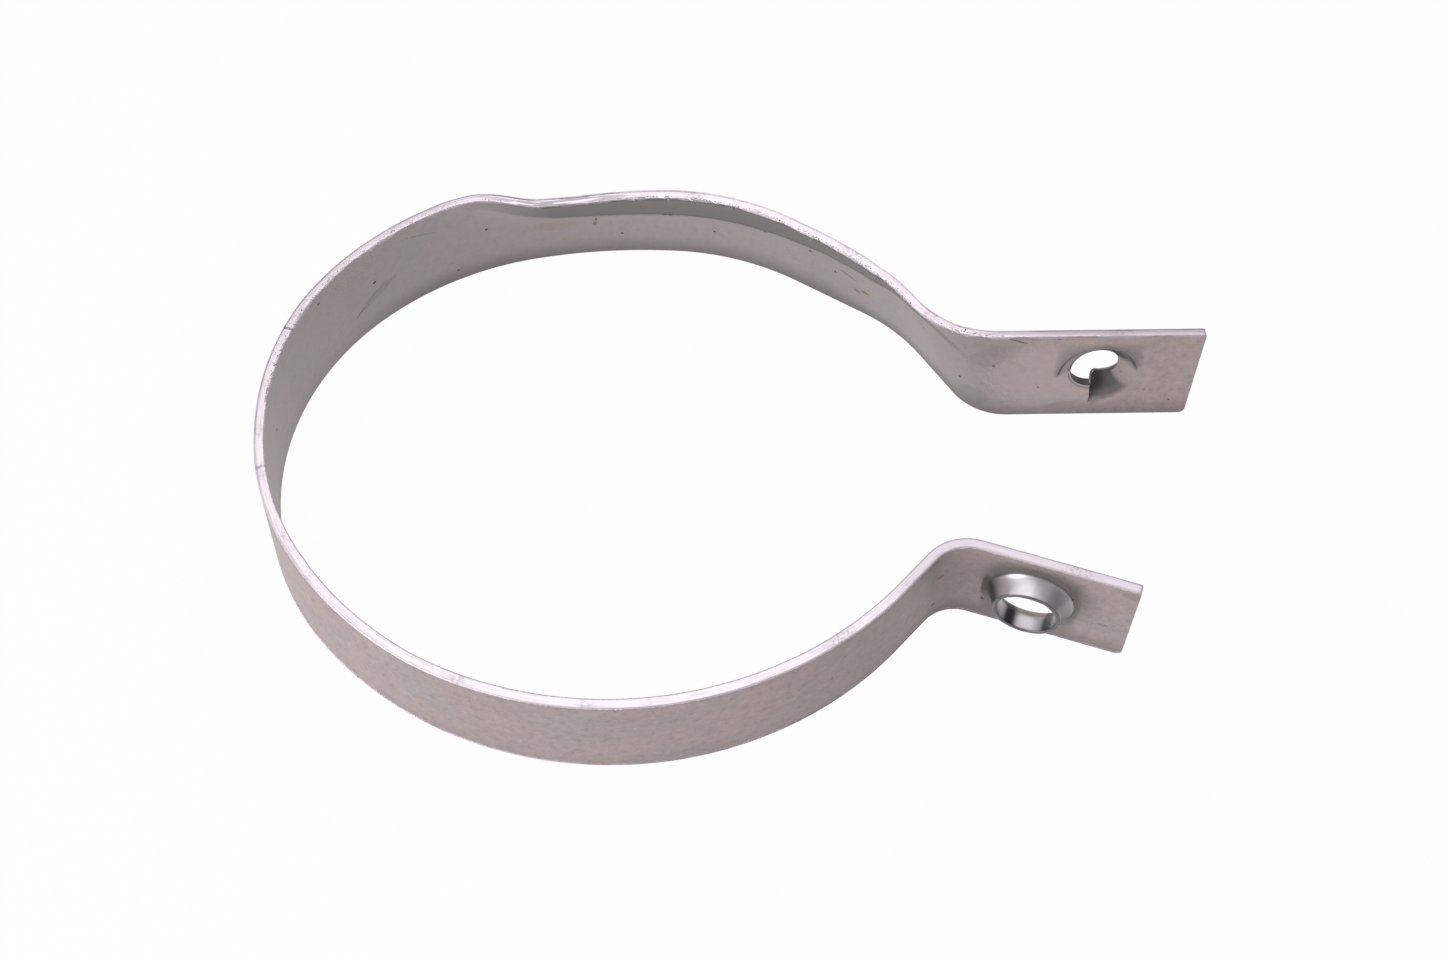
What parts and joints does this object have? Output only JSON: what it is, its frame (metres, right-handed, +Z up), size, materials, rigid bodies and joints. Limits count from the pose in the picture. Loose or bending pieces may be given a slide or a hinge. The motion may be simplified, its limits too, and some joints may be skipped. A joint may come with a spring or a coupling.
{
  "type": "exhaust strap clamp",
  "caption": "Open steel strap clamp for an exhaust pipe: a round band with two flat ears, one drawn into a screw collar and one pressed with a thread impression.",
  "frame": {"origin": "centre of the clamped pipe, level with the lower strap edge that the clamp lies on", "axes": "+Z up, along the pipe's axis; +X from the ring towards the two ears; +Y from the collared ear towards the ear with the thread impression"},
  "size_m": [0.1511, 0.1016, 0.0193],
  "materials": {
    "strap_steel": "dull zinc plate"
  },
  "bodies": {
    "root": {"clamp_strap": "strap_steel"}
  },
  "joints": []
}
